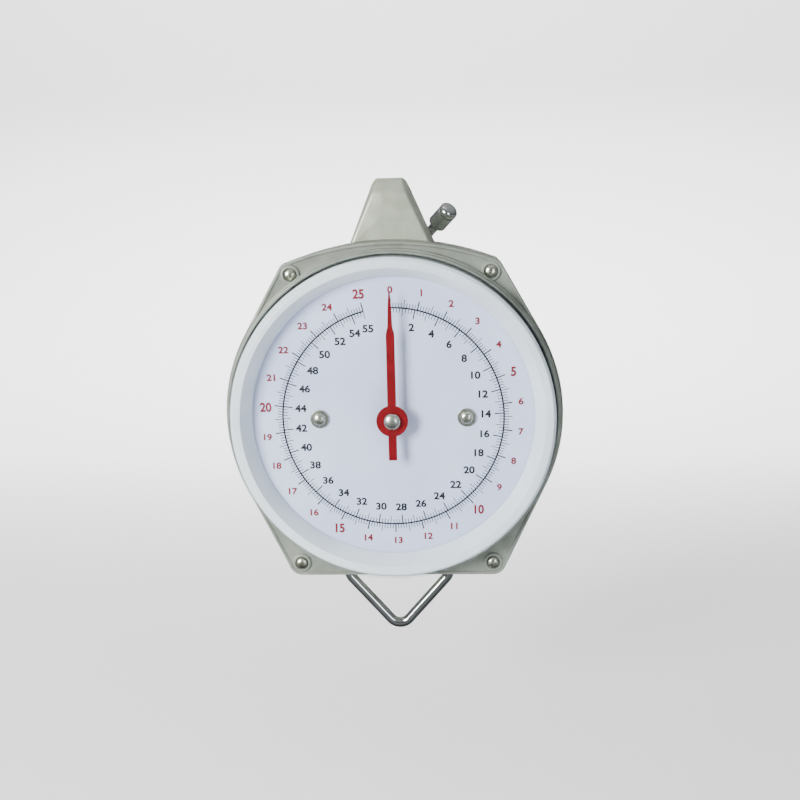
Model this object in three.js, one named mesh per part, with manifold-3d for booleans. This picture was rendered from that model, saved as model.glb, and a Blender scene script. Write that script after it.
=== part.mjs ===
// Hanging dial spring scale, 25 kg. Millimetres, +Z up, the dial faces -Y.
// Every piece is drawn in the dial's frame: the dial's face is the plane y = 0 and its centre is x = z = 0.
// The finished group is then moved so that the middle of the top hook's pin is the origin.
import * as THREE from 'three';
import { mergeVertices } from 'three/addons/utils/BufferGeometryUtils.js';
import { ConvexGeometry } from 'three/addons/geometries/ConvexGeometry.js';
import Module from 'manifold-3d';

const wasm = await Module();
wasm.setup();

// ---- Driving dimensions ----
const LENS_R = 114; // outer radius of the clear cover, a 9 inch dial
const LENS_WALL = 1.8;
const LENS_FRONT = -19; // front face of the cover
const LENS_FOOT_R = 115.2; // the cover's foot, which the front casting holds
const DIAL_R = 100.5;
const DIAL_SEEN_R = 98.6; // what the white surround leaves open
const CASE_R = 118.8; // round sides of the front casting
const REAR_SIDE_R = 116.6; // and of the rear one, behind its flange
const CASE_TOP_Z = 122;
const CASE_TOP_ARC_R = 200.4;
const TOP_CORNER = { x: 69, z: 100.5, r: 9 };
const BOTTOM_CORNER = { x: 69.5, z: -108.8, r: 9.5 };
const FRONT_PLATE_Y = [6, 9];
const FRONT_SKIRT_BACK = 16;
const COLLAR_FRONT = -4;
const COLLAR_R = 116.2;
const COLLAR_FOOT_R = 117.4;
const BOSS_R = 6; // raised ring round each case screw
const BOSS_FRONT = 4.8;
const REAR_Y = [16.3, 54];
const REAR_ROUND = 6;
const REAR_FLANGE = 3.2;
const REAR_BOSS_R = 6.6;
const WALL = 3;
const GAP = 0.3;

const LOAD_Y = 29; // plane of the springs, the V hook and the top hook's pin
const PIN_Z = 153;
const PIN_R = 3;
const TOWER = {
  front: 14, baseZ: 108, baseBack: 47,
  creaseZ: 155, creaseHalf: 11.6, creaseBack: 38, flare: 0.452,
  topZ: 164, topHalf: 9, topFront: 22.5, topBack: 31,
  draft: 2, // how much wider each side is at the back
};
const ROOF_SLOT = { half: 6.3, front: 24.5, floorZ: 158 }; // lets the top hook stand upright
const LEG_SLOT = { halfX: 4.8, halfY: 9.2 };

const PITCH_R = 5; // pinion pitch radius: 346 degrees of pointer for 30.2 mm of travel
const TEETH = 20;
const MODULE = (2 * PITCH_R) / TEETH;
const PRESSURE = THREE.MathUtils.degToRad(20);
const PINION_Y = [13.2, 19.2];
const RACK_Y = [14.2, 18.2];
const SPINDLE_R = 2;

const SPRING_X = 24;
const SPRING_COIL_R = 6.75;
const SPRING_WIRE_R = 1.25;
const SPRING_TURNS = 9;

const V_ROD_R = 3.75;
const V_LEG_X = 37.4;
const V_APEX_Z = -165; // lowest point of the rod's centre line
const V_SLOPE = THREE.MathUtils.degToRad(49);
const YOKE_PIVOT_Z = -54;

const HOOK_ROD_R = 3.5;
const HOOK_BOWL_R = 20;
const HOOK_BOWL_S = 40; // from the pin to the centre of the bowl
const HOOK_BEND_R = 8; // where the shank turns aside into the bowl
const HOOK_TIP_SLOPE = THREE.MathUtils.degToRad(55);
const HOOK_NECK = 26.5; // straight rod between the bowl and the barrel
const HOOK_STUB = 6.5; // how far the rod goes into the barrel
const BARREL_R = 6.7;
const BARREL_LENGTH = 19;
const HOOK_EYE = { r: 6.6, width: 12 };
const HOOK_FOLD = THREE.MathUtils.degToRad(49); // folded hook, below the horizontal

const ROUND = 48; // facets of the large circles
const SMALL = 12; // facets of pins, screws and posts

// ---- Materials ----
const finish = (color, roughness, metalness) => new THREE.MeshStandardMaterial({ color, roughness, metalness });
const castPaint = () => finish('#b9beb2', 0.42, 0.55);
const whitePlastic = () => finish('#e6eaec', 0.45, 0);
const chrome = () => finish('#c9ccca', 0.15, 1);
const zincSteel = () => finish('#b4b8a8', 0.3, 0.9);
const steel = () => finish('#9a9d9c', 0.4, 0.9);
const brass = () => finish('#b08d3c', 0.35, 0.9);
const redPaint = () => finish('#b4101e', 0.5, 0.1);
const rubber = () => finish('#26282a', 0.8, 0);
const clear = () => finish('#e8f2f4', 0.08, 0);

// ---- Solids ----
// A closed geometry as a manifold solid: shared points merged, empty facets dropped, faces turned outwards.
function solid(geometry) {
  const bare = geometry.clone();
  bare.deleteAttribute('normal');
  bare.deleteAttribute('uv');
  const merged = mergeVertices(bare, 1e-4);
  const points = merged.getAttribute('position').array;
  const facets = [];
  const source = merged.getIndex().array;
  let volume = 0;
  for (let i = 0; i < source.length; i += 3) {
    const [a, b, c] = source.slice(i, i + 3);
    if (a === b || b === c || c === a) continue;
    facets.push(a, b, c);
    const [p, q, r] = [a, b, c].map((k) => new THREE.Vector3().fromArray(points, 3 * k));
    volume += p.dot(q.cross(r));
  }
  if (volume < 0) facets.reverse();
  return new wasm.Manifold(
    new wasm.Mesh({ numProp: 3, vertProperties: points, triVerts: Uint32Array.from(facets) }),
  );
}

function geometryOf(body) {
  const mesh = body.getMesh();
  const geometry = new THREE.BufferGeometry();
  geometry.setAttribute('position', new THREE.BufferAttribute(mesh.vertProperties, 3));
  geometry.setIndex(new THREE.BufferAttribute(mesh.triVerts, 1));
  return geometry;
}

const joined = (bodies) => bodies.reduce((whole, body) => whole.add(body));
const cut = (body, tools) => tools.reduce((rest, tool) => rest.subtract(tool), body);

function arc(cx, cz, radius, from, to, steps) {
  return Array.from({ length: steps + 1 }, (_, i) => {
    const angle = from + ((to - from) * i) / steps;
    return new THREE.Vector2(cx + radius * Math.cos(angle), cz + radius * Math.sin(angle));
  });
}

// An outline in x and z, pushed through from front to back.
function plate(outline, [front, back]) {
  const shape = new THREE.Shape(outline);
  const geometry = new THREE.ExtrudeGeometry(shape, { depth: back - front, bevelEnabled: false });
  return solid(geometry.rotateX(Math.PI / 2).translate(0, back, 0));
}

// A round profile of [radius, y] points, turned about an axis along Y.
function turned(profile, x = 0, z = 0, facets = SMALL) {
  const closed = profile[0][0] > 0 ? [...profile, profile[0]] : profile;
  const points = closed.map(([r, y]) => new THREE.Vector2(r, y));
  return solid(new THREE.LatheGeometry(points, facets).translate(x, 0, z));
}

const post = (radius, [front, back], x, z, facets = SMALL) =>
  turned([[0, front], [radius, front], [radius, back], [0, back]], x, z, facets);
const tube = (outer, inner, [front, back], x, z, facets = SMALL) =>
  turned([[inner, front], [outer, front], [outer, back], [inner, back]], x, z, facets);
const along = (geometry, axis) => (axis === 'x' ? geometry.rotateZ(-Math.PI / 2) : geometry.rotateX(Math.PI / 2));
const bar = (radius, length, axis, [x, y, z], facets = SMALL) =>
  solid(along(new THREE.CylinderGeometry(radius, radius, length, facets), axis).translate(x, y, z));
const block = ([x0, x1], [y0, y1], [z0, z1]) =>
  solid(
    new THREE.BoxGeometry(x1 - x0, y1 - y0, z1 - z0).translate((x0 + x1) / 2, (y0 + y1) / 2, (z0 + z1) / 2),
  );

// A path through given points, so that a swept rod has its rings exactly there.
class PointPath extends THREE.Curve {
  constructor(points) {
    super();
    this.points = points;
  }
  getPoint(t, target = new THREE.Vector3()) {
    const last = this.points.length - 1;
    const place = THREE.MathUtils.clamp(t, 0, 1) * last;
    const i = Math.min(Math.floor(place), last - 1);
    return target.lerpVectors(this.points[i], this.points[i + 1], place - i);
  }
  getPointAt(u, target) {
    return this.getPoint(u, target);
  }
  getTangentAt(u, target) {
    return this.getTangent(u, target);
  }
}

function swept(points, radius, sides) {
  const section = new THREE.Shape(arc(0, 0, radius, 0, 2 * Math.PI, sides).slice(0, -1));
  const options = { extrudePath: new PointPath(points), steps: points.length - 1, bevelEnabled: false };
  return solid(new THREE.ExtrudeGeometry(section, options));
}

// ---- The case's outline ----
// Top arc, corner round each screw, straight flank, round side, and the same below, all moved in by inset.
function caseOutline(inset, sideR = CASE_R) {
  const flank = (corner) => {
    const reach = Math.hypot(corner.x, corner.z);
    const lean = Math.acos((sideR - corner.r) / reach);
    return Math.atan2(corner.z, corner.x) - Math.sign(corner.z) * lean;
  };
  const topFlank = flank(TOP_CORNER);
  const bottomFlank = flank(BOTTOM_CORNER);
  const arcZ = CASE_TOP_Z - CASE_TOP_ARC_R;
  const topEnd = Math.atan2(TOP_CORNER.z - arcZ, TOP_CORNER.x);
  const half = [
    ...arc(0, arcZ, CASE_TOP_ARC_R - inset, Math.PI / 2, topEnd, 4),
    ...arc(TOP_CORNER.x, TOP_CORNER.z, TOP_CORNER.r - inset, topEnd, topFlank, 4).slice(1),
    ...arc(0, 0, sideR - inset, topFlank, bottomFlank, 10),
    ...arc(BOTTOM_CORNER.x, BOTTOM_CORNER.z, BOTTOM_CORNER.r - inset, bottomFlank, -Math.PI / 2, 4),
  ];
  const mirrored = half.slice(1).reverse().map((p) => new THREE.Vector2(-p.x, p.y));
  return [...half, ...mirrored].reverse();
}

const SCREWS = [
  ['top_left', -TOP_CORNER.x, TOP_CORNER.z],
  ['top_right', TOP_CORNER.x, TOP_CORNER.z],
  ['bottom_left', -BOTTOM_CORNER.x, BOTTOM_CORNER.z],
  ['bottom_right', BOTTOM_CORNER.x, BOTTOM_CORNER.z],
];
const SCREW_SHANK_R = 1.9;
const SCREW_HOLE_R = 2.3;
const SCREW_HEAD_R = 4.3;
const SCREW_END_Y = 34;

// ---- Castings ----
function frontCase() {
  const seat = LENS_FOOT_R + 0.4;
  const mouth = LENS_R + 0.4;
  const shell = plate(caseOutline(0), [FRONT_PLATE_Y[0], FRONT_SKIRT_BACK]);
  const skirtRoom = plate(caseOutline(2.6), [FRONT_PLATE_Y[1], FRONT_SKIRT_BACK + 1]);
  const collar = turned(
    [
      [mouth, COLLAR_FRONT], [COLLAR_R, COLLAR_FRONT], [COLLAR_R, 0.5],
      [COLLAR_FOOT_R, 1.2], [COLLAR_FOOT_R, FRONT_PLATE_Y[0] + 1], [mouth, FRONT_PLATE_Y[0] + 1],
    ],
    0, 0, ROUND,
  );
  const bosses = SCREWS.map(([, x, z]) => post(BOSS_R, [BOSS_FRONT, FRONT_SKIRT_BACK], x, z));
  const bore = post(mouth, [COLLAR_FRONT - 1, 30], 0, 0, ROUND);
  const counterbore = post(seat, [2, 30], 0, 0, ROUND);
  const holes = SCREWS.map(([, x, z]) => post(SCREW_HOLE_R, [0, 30], x, z));
  const headSeats = SCREWS.map(([, x, z]) => post(SCREW_HEAD_R + 0.5, [0, FRONT_PLATE_Y[0]], x, z));
  const hollow = shell.subtract(skirtRoom);
  return cut(joined([hollow, collar, ...bosses]), [bore, counterbore, ...holes, ...headSeats]);
}

const towerHalf = (z) => TOWER.creaseHalf + (TOWER.creaseZ - z) * TOWER.flare;

// The hood round the hook's pin: flared sides, upright face, and a roof that leans back above the crease.
// The same points with a wall's thickness taken off make its hollow.
function towerHull(wall, rearReach, baseZ) {
  const topBack = wall > 0 ? 60 : TOWER.topBack;
  const levels = [
    [baseZ, towerHalf(baseZ), TOWER.front, TOWER.baseBack + rearReach],
    [TOWER.creaseZ - wall * 0.4, TOWER.creaseHalf, TOWER.front, TOWER.creaseBack + rearReach],
    [TOWER.topZ - wall, TOWER.topHalf, TOWER.topFront + wall * 0.2, topBack],
  ];
  const points = levels.flatMap(([z, half, front, back]) =>
    [-1, 1].flatMap((side) => [
      new THREE.Vector3(side * (half - wall), front + wall, z),
      new THREE.Vector3(side * (half + TOWER.draft - wall), back, z),
    ]),
  );
  return solid(new ConvexGeometry(points));
}

// The rear shell's outer form: upright walls that turn through a quarter round into the flat back.
function roundedTub(inset, [front, back], radius) {
  const rim = caseOutline(inset, REAR_SIDE_R).map((p) => new THREE.Vector3(p.x, front, p.y));
  const levels = arc(0, 0, radius, 0, Math.PI / 2, 3).flatMap((turn) =>
    caseOutline(inset + radius - turn.x, REAR_SIDE_R).map((p) => new THREE.Vector3(p.x, back - radius + turn.y, p.y)),
  );
  return solid(new ConvexGeometry([...rim, ...levels]));
}

function rearCase() {
  const [front, back] = REAR_Y;
  const tub = roundedTub(1, [front, back], REAR_ROUND);
  const flange = plate(caseOutline(1), [front, front + REAR_FLANGE]);
  const room = plate(caseOutline(1 + WALL, REAR_SIDE_R), [front + 3, back - WALL]);
  const rim = plate(caseOutline(1 + WALL + 2, REAR_SIDE_R), [front - 1, front + 4]);
  const screwBosses = SCREWS.map(([, x, z]) => post(REAR_BOSS_R, [front + 0.2, back - WALL + 0.5], x, z));
  const frontRoom = plate(caseOutline(-0.5), [0, front]);
  const tower = towerHull(0, 0, TOWER.baseZ).subtract(frontRoom);
  const towerRoom = towerHull(WALL, 20, CASE_TOP_Z - 0.5);
  const roofSlot = block([-ROOF_SLOT.half, ROOF_SLOT.half], [ROOF_SLOT.front, 70], [ROOF_SLOT.floorZ, 180]);
  const pinHole = bar(PIN_R + GAP, 60, 'x', [0, LOAD_Y, PIN_Z]);
  const screwHoles = SCREWS.map(([, x, z]) => post(SCREW_HOLE_R, [front - 1, SCREW_END_Y + 1], x, z));
  const legSlots = [-1, 1].map((side) =>
    block(
      [side * V_LEG_X - LEG_SLOT.halfX, side * V_LEG_X + LEG_SLOT.halfX],
      [LOAD_Y - LEG_SLOT.halfY, LOAD_Y + LEG_SLOT.halfY],
      [-125, -108],
    ),
  );
  const chassisBosses = CHASSIS_SCREWS.map(([, x, z]) => post(5, [44, back - WALL + 0.5], x, z));
  const chassisHoles = CHASSIS_SCREWS.map(([, x, z]) => post(SCREW_HOLE_R, [43, 50.4], x, z));
  const emptied = cut(joined([tub, flange, tower]), [room, rim, towerRoom, roofSlot, pinHole, ...legSlots]);
  return cut(joined([emptied, ...screwBosses, ...chassisBosses]), [...screwHoles, ...chassisHoles]);
}

// ---- Dial side ----
function lens() {
  const edge = 7;
  const inner = edge - LENS_WALL;
  const outside = arc(LENS_R - edge, LENS_FRONT + edge, edge, -Math.PI / 2, 0, 4);
  const inside = arc(LENS_R - edge, LENS_FRONT + edge, inner, 0, -Math.PI / 2, 3);
  const profile = [
    [0, LENS_FRONT],
    ...outside.map((p) => [p.x, p.y]),
    [LENS_R, 2.4], [LENS_FOOT_R, 2.4], [LENS_FOOT_R, 4.2], [LENS_R - LENS_WALL, 4.2],
    ...inside.map((p) => [p.x, p.y]),
    [0, LENS_FRONT + LENS_WALL],
  ];
  return turned(profile, 0, 0, ROUND);
}

const gasket = () => tube(LENS_FOOT_R, 112.4, [4.5, 5.5], 0, 0, ROUND);

// White ring between dial and cover: a cone round the dial, a flat lip under the cover's edge, and a
// skirt that the two castings clamp.
function surround() {
  return turned(
    [
      [DIAL_SEEN_R, -0.4], [105.6, -13.6], [110.2, -13.6], [111.6, -12], [111.6, 5.8], [LENS_FOOT_R, 5.8],
      [LENS_FOOT_R, 15.9], [113.4, 15.9], [113.4, 7.6], [110, 7.6], [110, -11.8], [107, -11.8], [101, -0.4],
    ],
    0, 0, ROUND,
  );
}

const DIAL_SCREW_X = 51.5;
const DIAL_HOLE_R = 2.2;

function dialPlate() {
  const disc = post(DIAL_R, [0, 1], 0, 0, ROUND);
  const holes = [post(4, [-1, 2], 0, 0), ...[-1, 1].map((s) => post(DIAL_HOLE_R, [-1, 2], s * DIAL_SCREW_X, 0))];
  return cut(disc, holes);
}

const dialWasher = (x) => tube(6.5, DIAL_HOLE_R, [-1.3, -GAP], x, 0);
const panHead = (radius, seat, height, shankR, end, x, z) =>
  turned(
    [
      [0, seat - height], [radius * 0.55, seat - height * 0.9], [radius * 0.9, seat - height * 0.5],
      [radius, seat], [shankR, seat], [shankR, end], [0, end],
    ],
    x, z,
  );
const dialScrew = (x) => panHead(4.3, -1.6, 2.6, 1.8, 9, x, 0);
const caseScrew = (x, z) => panHead(SCREW_HEAD_R, FRONT_PLATE_Y[0] - GAP, 2.8, SCREW_SHANK_R, SCREW_END_Y, x, z);

// ---- Movement, carried on the chassis ----
const CHASSIS_Y = [41.2, 43.7];
const BRIDGE_Y = [8, 10];
const CHASSIS_SCREWS = [
  ['top_left', -44, 62], ['top_right', 44, 62], ['bottom_left', -44, -34], ['bottom_right', 44, -34],
];
const PILLARS = [
  ['top_left', -12.5, 14], ['top_right', 12.5, 14], ['bottom_left', -12.5, -14], ['bottom_right', 12.5, -14],
];
const STOP_Z = [-95, -92.6]; // the yoke meets this tab at the end of its travel

function chassis() {
  const corner = (x, z) => new THREE.Vector2(x, z);
  const outline = [
    corner(-56, -42), corner(-14, -42), corner(-14, STOP_Z[0]), corner(14, STOP_Z[0]), corner(14, -42),
    corner(56, -42), corner(56, 70), corner(40, 98), corner(-40, 98), corner(-56, 70),
  ];
  const sheet = plate(outline, CHASSIS_Y);
  const tab = block([-14, 14], [24, CHASSIS_Y[1]], STOP_Z);
  const holes = [
    post(4.5, [40, 45], 0, 0),
    ...CHASSIS_SCREWS.map(([, x, z]) => post(SCREW_HOLE_R, [40, 45], x, z)),
  ];
  return cut(sheet.add(tab), holes);
}

const chassisScrew = (x, z) => panHead(4, CHASSIS_Y[0] - GAP, 2.4, SCREW_SHANK_R, 50, x, z);
const standoff = (x) => cut(post(4, [1.3, CHASSIS_Y[0] - GAP], x, 0), [post(DIAL_HOLE_R, [0, 12], x, 0)]);
const bridge = () => cut(block([-18, 18], BRIDGE_Y, [-19, 19]), [post(4.5, [7, 11], 0, 0)]);
const pillar = (x, z) => post(2, [BRIDGE_Y[1] + GAP, CHASSIS_Y[0] - GAP], x, z);
const bush = (front, back) =>
  turned([[SPINDLE_R + GAP, front], [6, front], [6, front + 1], [4.2, front + 1], [4.2, back], [SPINDLE_R + GAP, back]]);
const frontBush = () => bush(BRIDGE_Y[0] - 1 - GAP, BRIDGE_Y[1]);
const rearBush = () => bush(CHASSIS_Y[0] - 1 - GAP, CHASSIS_Y[1]);
const rackGuide = () => post(2, [BRIDGE_Y[1] + GAP, CHASSIS_Y[0] - GAP], 11.4, 0);

function springShelf() {
  const shelf = block([-36, 36], [20, CHASSIS_Y[0] - GAP], [78, 81]);
  const flange = block([-36, 36], [38.4, CHASSIS_Y[0] - GAP], [80, 94]);
  const holes = [-1, 1].map((s) => bar(3.4, 20, 'z', [s * SPRING_X, LOAD_Y, 80]));
  return cut(shelf.add(flange), holes);
}

function springAnchor(x) {
  const stud = bar(3, 22, 'z', [x, LOAD_Y, 77]);
  const socket = bar(SPRING_WIRE_R + 0.4, 8, 'z', [x, LOAD_Y, 68]);
  return stud.subtract(socket);
}

function anchorNut(x) {
  const hexagon = bar(5.5, 4, 'z', [x, LOAD_Y, 81.3 + 2], 6);
  return hexagon.subtract(bar(3.3, 10, 'z', [x, LOAD_Y, 83]));
}

// Close-wound ends run in to the axis, where a straight tail enters the anchor above and the yoke below.
const SPRING_TOP_Z = 71.4;
const SPRING_BOTTOM_Z = -48.4;
const SPRING_TAIL = 10;

function mainSpring(x) {
  const stepsPerTurn = 8;
  const steps = SPRING_TURNS * stepsPerTurn;
  const top = SPRING_TOP_Z - SPRING_TAIL;
  const bottom = SPRING_BOTTOM_Z + SPRING_TAIL;
  const coil = Array.from({ length: steps + 1 }, (_, i) => {
    const share = i / steps;
    const angle = (2 * Math.PI * i) / stepsPerTurn;
    const opening = Math.min(1, share * SPRING_TURNS, (1 - share) * SPRING_TURNS);
    const radius = SPRING_COIL_R * opening;
    return new THREE.Vector3(
      x + radius * Math.cos(angle),
      LOAD_Y + radius * Math.sin(angle),
      THREE.MathUtils.lerp(top, bottom, share),
    );
  });
  const ends = [new THREE.Vector3(x, LOAD_Y, SPRING_TOP_Z), new THREE.Vector3(x, LOAD_Y, SPRING_BOTTOM_Z)];
  return swept([ends[0], ...coil, ends[1]], SPRING_WIRE_R, 5);
}

// ---- Load side: yoke, rack and V hook ----
function loadYoke() {
  const beam = block([-31.2, 31.2], [LOAD_Y - 6.5, LOAD_Y + 6.5], [-61, -44]);
  const rackPad = block([2, 16], [RACK_Y[1] + GAP, LOAD_Y - 6], [-61, -44]);
  const sockets = [-1, 1].flatMap((s) => [
    bar(V_ROD_R + 0.35, 12, 'x', [s * 31.5, LOAD_Y, YOKE_PIVOT_Z]),
    bar(SPRING_WIRE_R + 0.4, 10, 'z', [s * SPRING_X, LOAD_Y, -43.9]),
  ]);
  return cut(beam.add(rackPad), [...sockets, post(SCREW_HOLE_R, [10, 27], 9, -53)]);
}

// Straight rack teeth: half-thickness and flanks follow the pinion's pressure angle, with a little backlash.
const TOOTH_HALF = (Math.PI * MODULE) / 4 - 0.06;
const RACK_BACK_X = 9;
const RACK_TOP_Z = 38;

function rack() {
  const pitch = Math.PI * MODULE;
  const tipX = PITCH_R - MODULE;
  const rootX = PITCH_R + 1.2 * MODULE;
  const tipHalf = TOOTH_HALF - MODULE * Math.tan(PRESSURE);
  const rootHalf = TOOTH_HALF + 1.2 * MODULE * Math.tan(PRESSURE);
  const flank = [];
  for (let tooth = -3; tooth * pitch < RACK_TOP_Z - 2; tooth += 1) {
    const z = tooth * pitch;
    flank.push([rootX, z - rootHalf], [tipX, z - tipHalf], [tipX, z + tipHalf], [rootX, z + rootHalf]);
  }
  const foot = [[13, -48], [13, -60], [rootX, -60]];
  const outline = [...flank, [rootX, RACK_TOP_Z], [RACK_BACK_X, RACK_TOP_Z], [RACK_BACK_X, -44], ...foot];
  const strip = plate(outline.map(([x, z]) => new THREE.Vector2(x, z)).reverse(), RACK_Y);
  return strip.subtract(post(SCREW_HOLE_R, [10, 25], 9, -53));
}

const rackScrew = () => panHead(3.6, RACK_Y[0] - GAP, 2, SCREW_SHANK_R, 26, 9, -53);

function vHook() {
  const apexR = 9;
  const bendR = 10;
  const topR = 6;
  const bendX = V_LEG_X - bendR;
  const apexZ = V_APEX_Z + apexR;
  const bendZ = apexZ + (bendX * Math.sin(V_SLOPE) + (bendR - apexR)) / Math.cos(V_SLOPE);
  const level = V_SLOPE - Math.PI / 2;
  const half = [
    ...arc(0, apexZ, apexR, -Math.PI / 2, level, 3),
    ...arc(bendX, bendZ, bendR, level, 0, 3),
    ...arc(V_LEG_X - topR, YOKE_PIVOT_Z - topR, topR, 0, Math.PI / 2, 4),
    new THREE.Vector2(26, YOKE_PIVOT_Z),
  ];
  const mirrored = half.slice(1).reverse().map((p) => new THREE.Vector2(-p.x, p.y));
  const route = [...mirrored, ...half].map((p) => new THREE.Vector3(p.x, LOAD_Y, p.y));
  return swept(route, V_ROD_R, 10);
}

// ---- Pointer side ----
function involuteHalfAngle(radius) {
  const inv = (angle) => Math.tan(angle) - angle;
  const base = PITCH_R * Math.cos(PRESSURE);
  return TOOTH_HALF / PITCH_R + inv(PRESSURE) - inv(Math.acos(Math.min(1, base / radius)));
}

function pinion() {
  const root = PITCH_R - 1.2 * MODULE;
  const base = PITCH_R * Math.cos(PRESSURE);
  const tip = PITCH_R + MODULE;
  const outline = [];
  for (let tooth = 0; tooth < TEETH; tooth += 1) {
    const middle = ((tooth + 0.5) * 2 * Math.PI) / TEETH;
    const sides = [root, base, tip].map((radius) => [radius, involuteHalfAngle(Math.max(radius, base))]);
    const rising = sides.map(([r, half]) => [r, middle - half]);
    const falling = sides.map(([r, half]) => [r, middle + half]).reverse();
    outline.push(...rising, ...falling);
  }
  const points = outline.map(([r, a]) => new THREE.Vector2(r * Math.cos(a), r * Math.sin(a)));
  return plate(points, PINION_Y).subtract(post(SPINDLE_R + GAP, [10, 25], 0, 0));
}

const POINTER_Y = [-10.6, -9.8];
const spindle = () => post(SPINDLE_R, [-12.6, 43], 0, 0);
const collet = () =>
  turned([[SPINDLE_R + GAP, -9.5], [7.5, -9.5], [7.5, -8.3], [4.6, -8.3], [4.6, -3], [SPINDLE_R + GAP, -3]]);
const pointerCap = () =>
  turned([
    [0, -14.9], [3, -14.6], [5, -13.6], [5.8, -12.2], [5.8, POINTER_Y[0] - GAP], [SPINDLE_R + GAP, POINTER_Y[0] - GAP],
    [SPINDLE_R + GAP, -12.9], [0, -12.9],
  ]);

// Long needle, a round hub and a straight tail, cut from one sheet.
function pointer() {
  const hubR = 11;
  const tail = { half: 2.8, end: -28 };
  const needle = [[2.9, 53], [2.1, 57], [1.4, 66], [0.5, 89]];
  const rootHalf = 3.1;
  const join = (half) => Math.asin(half / hubR);
  const right = [
    ...arc(0, 0, hubR, -Math.PI / 2 + join(tail.half), Math.PI / 2 - join(rootHalf), 10),
    ...needle.map(([x, z]) => new THREE.Vector2(x, z)),
  ];
  const left = right.map((p) => new THREE.Vector2(-p.x, p.y)).reverse();
  const end = [new THREE.Vector2(-tail.half, tail.end), new THREE.Vector2(tail.half, tail.end)];
  return plate([...right, ...left, ...end], POINTER_Y).subtract(post(SPINDLE_R + GAP, [-12, -9], 0, 0));
}

// ---- Top hook, drawn hanging straight down from its pin and then swung up behind the case by its group ----
// The shank leaves the eye, turns aside, rounds the bowl and rises to the tip.
function hookRoute() {
  const shankEnd = Math.sqrt((HOOK_BOWL_R + HOOK_BEND_R) ** 2 - HOOK_BEND_R ** 2) - HOOK_BOWL_S;
  const meet = Math.atan2(HOOK_BOWL_S + shankEnd, HOOK_BEND_R);
  const bend = arc(-HOOK_BEND_R, shankEnd, HOOK_BEND_R, 0, -meet, 5);
  const bowlEnd = 1.5 * Math.PI + HOOK_TIP_SLOPE;
  const bowl = arc(0, -HOOK_BOWL_S, HOOK_BOWL_R, Math.PI - meet, bowlEnd, 15);
  const neckStart = bowl[bowl.length - 1];
  const ahead = new THREE.Vector2(Math.cos(HOOK_TIP_SLOPE), Math.sin(HOOK_TIP_SLOPE));
  const tip = neckStart.clone().addScaledVector(ahead, HOOK_NECK);
  const stub = tip.clone().addScaledVector(ahead, HOOK_STUB);
  return { points: [new THREE.Vector2(0, 0), ...bend, ...bowl.slice(1), stub], tip };
}

function topHook() {
  const route = hookRoute().points.map((p) => new THREE.Vector3(p.x, 0, p.y));
  const rod = swept(route, HOOK_ROD_R, 10);
  const eye = bar(HOOK_EYE.r, HOOK_EYE.width, 'x', [0, 0, 0], 18);
  return rod.add(eye).subtract(bar(PIN_R + GAP, 30, 'x', [0, 0, 0]));
}

// Barrel pressed on the rod's end, turned about Y with its mouth at y = 0.
function hookTip() {
  const bore = HOOK_ROD_R + 0.35;
  return turned([
    [0, 7], [bore, 7], [bore, 0], [BARREL_R - 0.9, 0], [BARREL_R, 1.2], [BARREL_R, BARREL_LENGTH - 4.2],
    [BARREL_R - 1, BARREL_LENGTH - 1.6], [BARREL_R - 3, BARREL_LENGTH], [0, BARREL_LENGTH],
  ]);
}

// ---- Assembly ----
const scale = new THREE.Group();
scale.position.set(0, -LOAD_Y, -PIN_Z);

function place(name, body, material, parent = scale) {
  const mesh = new THREE.Mesh(geometryOf(body), material);
  mesh.name = name;
  parent.add(mesh);
  return mesh;
}

place('front_case', frontCase(), castPaint());
place('rear_case', rearCase(), castPaint());
place('lens', lens(), clear());
place('lens_gasket', gasket(), rubber());
place('dial_surround', surround(), whitePlastic());
place('dial_plate', dialPlate(), whitePlastic());
for (const [name, x, z] of SCREWS) place(`case_screw_${name}`, caseScrew(x, z), zincSteel());

place('chassis', chassis(), steel());
place('movement_bridge', bridge(), brass());
place('front_bush', frontBush(), brass());
place('rear_bush', rearBush(), brass());
place('rack_guide', rackGuide(), steel());
place('spring_shelf', springShelf(), steel());
for (const [name, x, z] of CHASSIS_SCREWS) place(`chassis_screw_${name}`, chassisScrew(x, z), zincSteel());
for (const [name, x, z] of PILLARS) place(`bridge_pillar_${name}`, pillar(x, z), steel());

for (const [side, sign] of [['left', -1], ['right', 1]]) {
  place(`dial_screw_${side}`, dialScrew(sign * DIAL_SCREW_X), zincSteel());
  place(`dial_washer_${side}`, dialWasher(sign * DIAL_SCREW_X), zincSteel());
  place(`dial_standoff_${side}`, standoff(sign * DIAL_SCREW_X), steel());
  place(`spring_anchor_${side}`, springAnchor(sign * SPRING_X), steel());
  place(`anchor_nut_${side}`, anchorNut(sign * SPRING_X), zincSteel());
  place(`main_spring_${side}`, mainSpring(sign * SPRING_X), steel());
}

place('load_yoke', loadYoke(), steel());
place('rack', rack(), brass());
place('rack_screw', rackScrew(), zincSteel());
place('v_hook', vHook(), chrome());

place('spindle', spindle(), steel());
place('pinion', pinion(), brass());
place('pointer', pointer(), redPaint());
place('pointer_collet', collet(), brass());
place('pointer_cap', pointerCap(), zincSteel());

place('hook_pin', bar(PIN_R, 26, 'x', [0, LOAD_Y, PIN_Z]), steel());

const folded = new THREE.Group();
folded.position.set(0, LOAD_Y, PIN_Z);
folded.rotation.x = Math.PI / 2 - HOOK_FOLD;
scale.add(folded);
place('top_hook', topHook(), chrome(), folded);

const { tip } = hookRoute();
const tipMesh = place('top_hook_tip', hookTip(), chrome(), folded);
tipMesh.position.set(tip.x, 0, tip.y);
tipMesh.rotation.set(0, -HOOK_TIP_SLOPE, -Math.PI / 2, 'YZX');

export default scale;
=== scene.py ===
from math import acos, asin, atan2, cos, hypot, pi, radians, sin, sqrt, tan

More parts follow.
